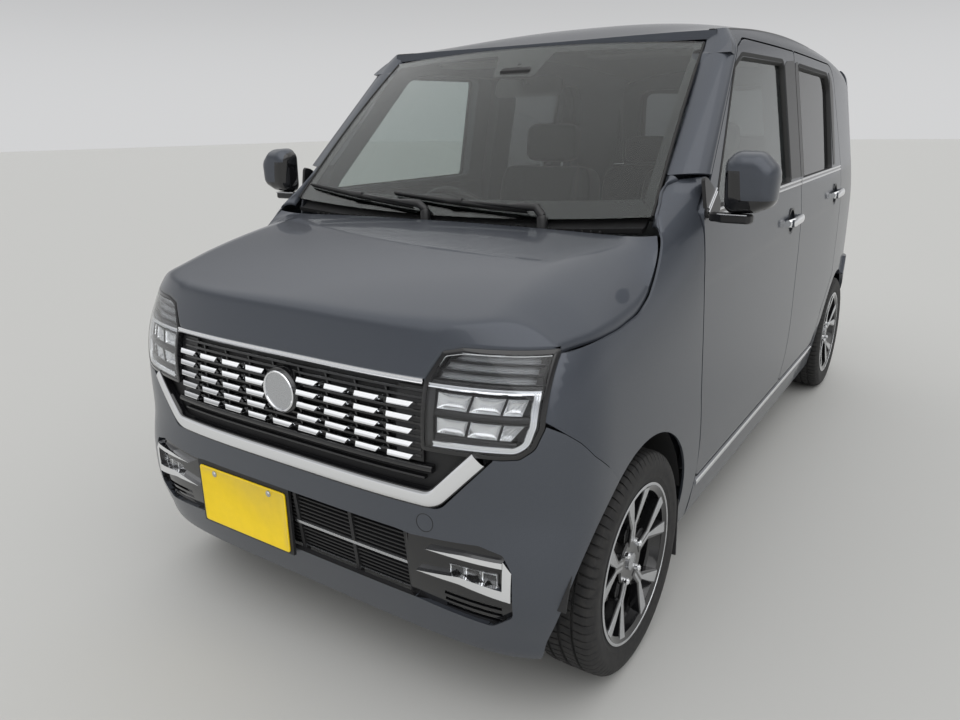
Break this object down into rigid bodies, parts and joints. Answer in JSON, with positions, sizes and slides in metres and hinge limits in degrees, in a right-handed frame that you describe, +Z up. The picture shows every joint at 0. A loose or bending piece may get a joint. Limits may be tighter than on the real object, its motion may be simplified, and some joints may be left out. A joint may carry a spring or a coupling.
{
  "type": "kei car",
  "caption": "Small tall five-door hatchback with opening doors, bonnet and tailgate, steered front wheels and a hollow furnished cabin.",
  "frame": {"origin": "on the ground plane, below the middle of the car's bounding box", "axes": "+Z up, nose towards -Y, the car's left side towards +X"},
  "size_m": [1.7764, 3.3938, 1.6748],
  "materials": {
    "paint": "dark blue-grey metallic clear coat",
    "bumper_paint": "moulded plastic in body colour",
    "glass": "tinted safety glass",
    "grille_chrome": "bright plated plastic",
    "lamp_lens": "clear moulded lens over chambers",
    "tail_lens": "red moulded lens",
    "black_plastic": "grained black",
    "trim_plastic": "soft grained black trim",
    "wheel_leather": "stitched black leather",
    "seat_fabric": "black woven cloth",
    "underbody_coat": "dark sealed steel",
    "cast_metal": "cast metal block",
    "chassis_steel": "black chassis paint",
    "exhaust_steel": "dull stainless tube",
    "tank_plastic": "blow-moulded black plastic",
    "knuckle_iron": "cast iron",
    "tyre": "black rubber",
    "wheel_alloy": "gloss black alloy with cut faces"
  },
  "bodies": {
    "body": {"underbody": "underbody_coat", "side_frame_left": "paint", "side_frame_right": "paint", "roof_panel": "paint", "fender_left": "paint", "fender_right": "paint", "front_bumper": "bumper_paint", "grille": "grille_chrome", "headlamps": "lamp_lens", "windscreen": "glass", "wiper_cowl": "black_plastic", "dashboard": "trim_plastic", "steering_wheel": "wheel_leather", "front_seats": "seat_fabric", "rear_seat": "seat_fabric", "rear_bumper": "bumper_paint", "tail_lamps": "tail_lens", "engine_block": "cast_metal", "front_subframe": "chassis_steel", "rear_axle": "chassis_steel", "exhaust": "exhaust_steel", "fuel_tank": "tank_plastic"},
    "bonnet": {"bonnet": "paint"},
    "door_front_left": {"door_front_left": "paint", "glass_front_left": "glass", "mirror_left": "paint"},
    "door_front_right": {"door_front_right": "paint", "glass_front_right": "glass", "mirror_right": "paint"},
    "door_rear_left": {"door_rear_left": "paint", "glass_rear_left": "glass"},
    "door_rear_right": {"door_rear_right": "paint", "glass_rear_right": "glass"},
    "tailgate": {"tailgate": "paint", "tailgate_glass": "glass"},
    "knuckle_left": {"knuckle_left": "knuckle_iron"},
    "knuckle_right": {"knuckle_right": "knuckle_iron"},
    "wheel_front_left": {"tyre_front_left": "tyre", "rim_front_left": "wheel_alloy"},
    "wheel_front_right": {"tyre_front_right": "tyre", "rim_front_right": "wheel_alloy"},
    "wheel_rear_left": {"tyre_rear_left": "tyre", "rim_rear_left": "wheel_alloy"},
    "wheel_rear_right": {"tyre_rear_right": "tyre", "rim_rear_right": "wheel_alloy"}
  },
  "joints": [
    {"name": "bonnet_hinge", "type": "hinge", "parent": "body", "child": "bonnet", "pos_m": [0, -1.05, 1.064], "axis": [-1, 0, 0], "range_deg": [0, 50]},
    {"name": "door_front_left_hinge", "type": "hinge", "parent": "body", "child": "door_front_left", "pos_m": [0.7375, -0.908, 0.7], "axis": [0, 0, -1], "range_deg": [0, 66]},
    {"name": "door_front_right_hinge", "type": "hinge", "parent": "body", "child": "door_front_right", "pos_m": [-0.7375, -0.908, 0.7], "axis": [0, 0, 1], "range_deg": [0, 66]},
    {"name": "door_rear_left_hinge", "type": "hinge", "parent": "body", "child": "door_rear_left", "pos_m": [0.7375, 0.228, 0.7], "axis": [0, 0, -1], "range_deg": [0, 75]},
    {"name": "door_rear_right_hinge", "type": "hinge", "parent": "body", "child": "door_rear_right", "pos_m": [-0.7375, 0.228, 0.7], "axis": [0, 0, 1], "range_deg": [0, 75]},
    {"name": "tailgate_hinge", "type": "hinge", "parent": "body", "child": "tailgate", "pos_m": [0, 1.5478, 1.632], "axis": [1, 0, 0], "range_deg": [0, 82]},
    {"name": "steer_left", "type": "hinge", "parent": "body", "child": "knuckle_left", "pos_m": [0.596, -1.25, 0.192], "axis": [-0.1596, 0, 0.9872], "range_deg": [-34, 34]},
    {"name": "steer_right", "type": "hinge", "parent": "body", "child": "knuckle_right", "pos_m": [-0.596, -1.25, 0.192], "axis": [0.1596, 0, 0.9872], "range_deg": [-34, 34]},
    {"name": "spin_front_left", "type": "hinge", "parent": "knuckle_left", "child": "wheel_front_left", "pos_m": [0.6525, -1.25, 0.281], "axis": [1, 0, 0], "continuous": true},
    {"name": "spin_front_right", "type": "hinge", "parent": "knuckle_right", "child": "wheel_front_right", "pos_m": [-0.6525, -1.25, 0.281], "axis": [1, 0, 0], "continuous": true},
    {"name": "spin_rear_left", "type": "hinge", "parent": "body", "child": "wheel_rear_left", "pos_m": [0.6525, 1.27, 0.281], "axis": [1, 0, 0], "continuous": true},
    {"name": "spin_rear_right", "type": "hinge", "parent": "body", "child": "wheel_rear_right", "pos_m": [-0.6525, 1.27, 0.281], "axis": [1, 0, 0], "continuous": true}
  ],
  "couplings": [
    {"joint": "steer_right", "follows": "steer_left", "ratio": 1}
  ]
}
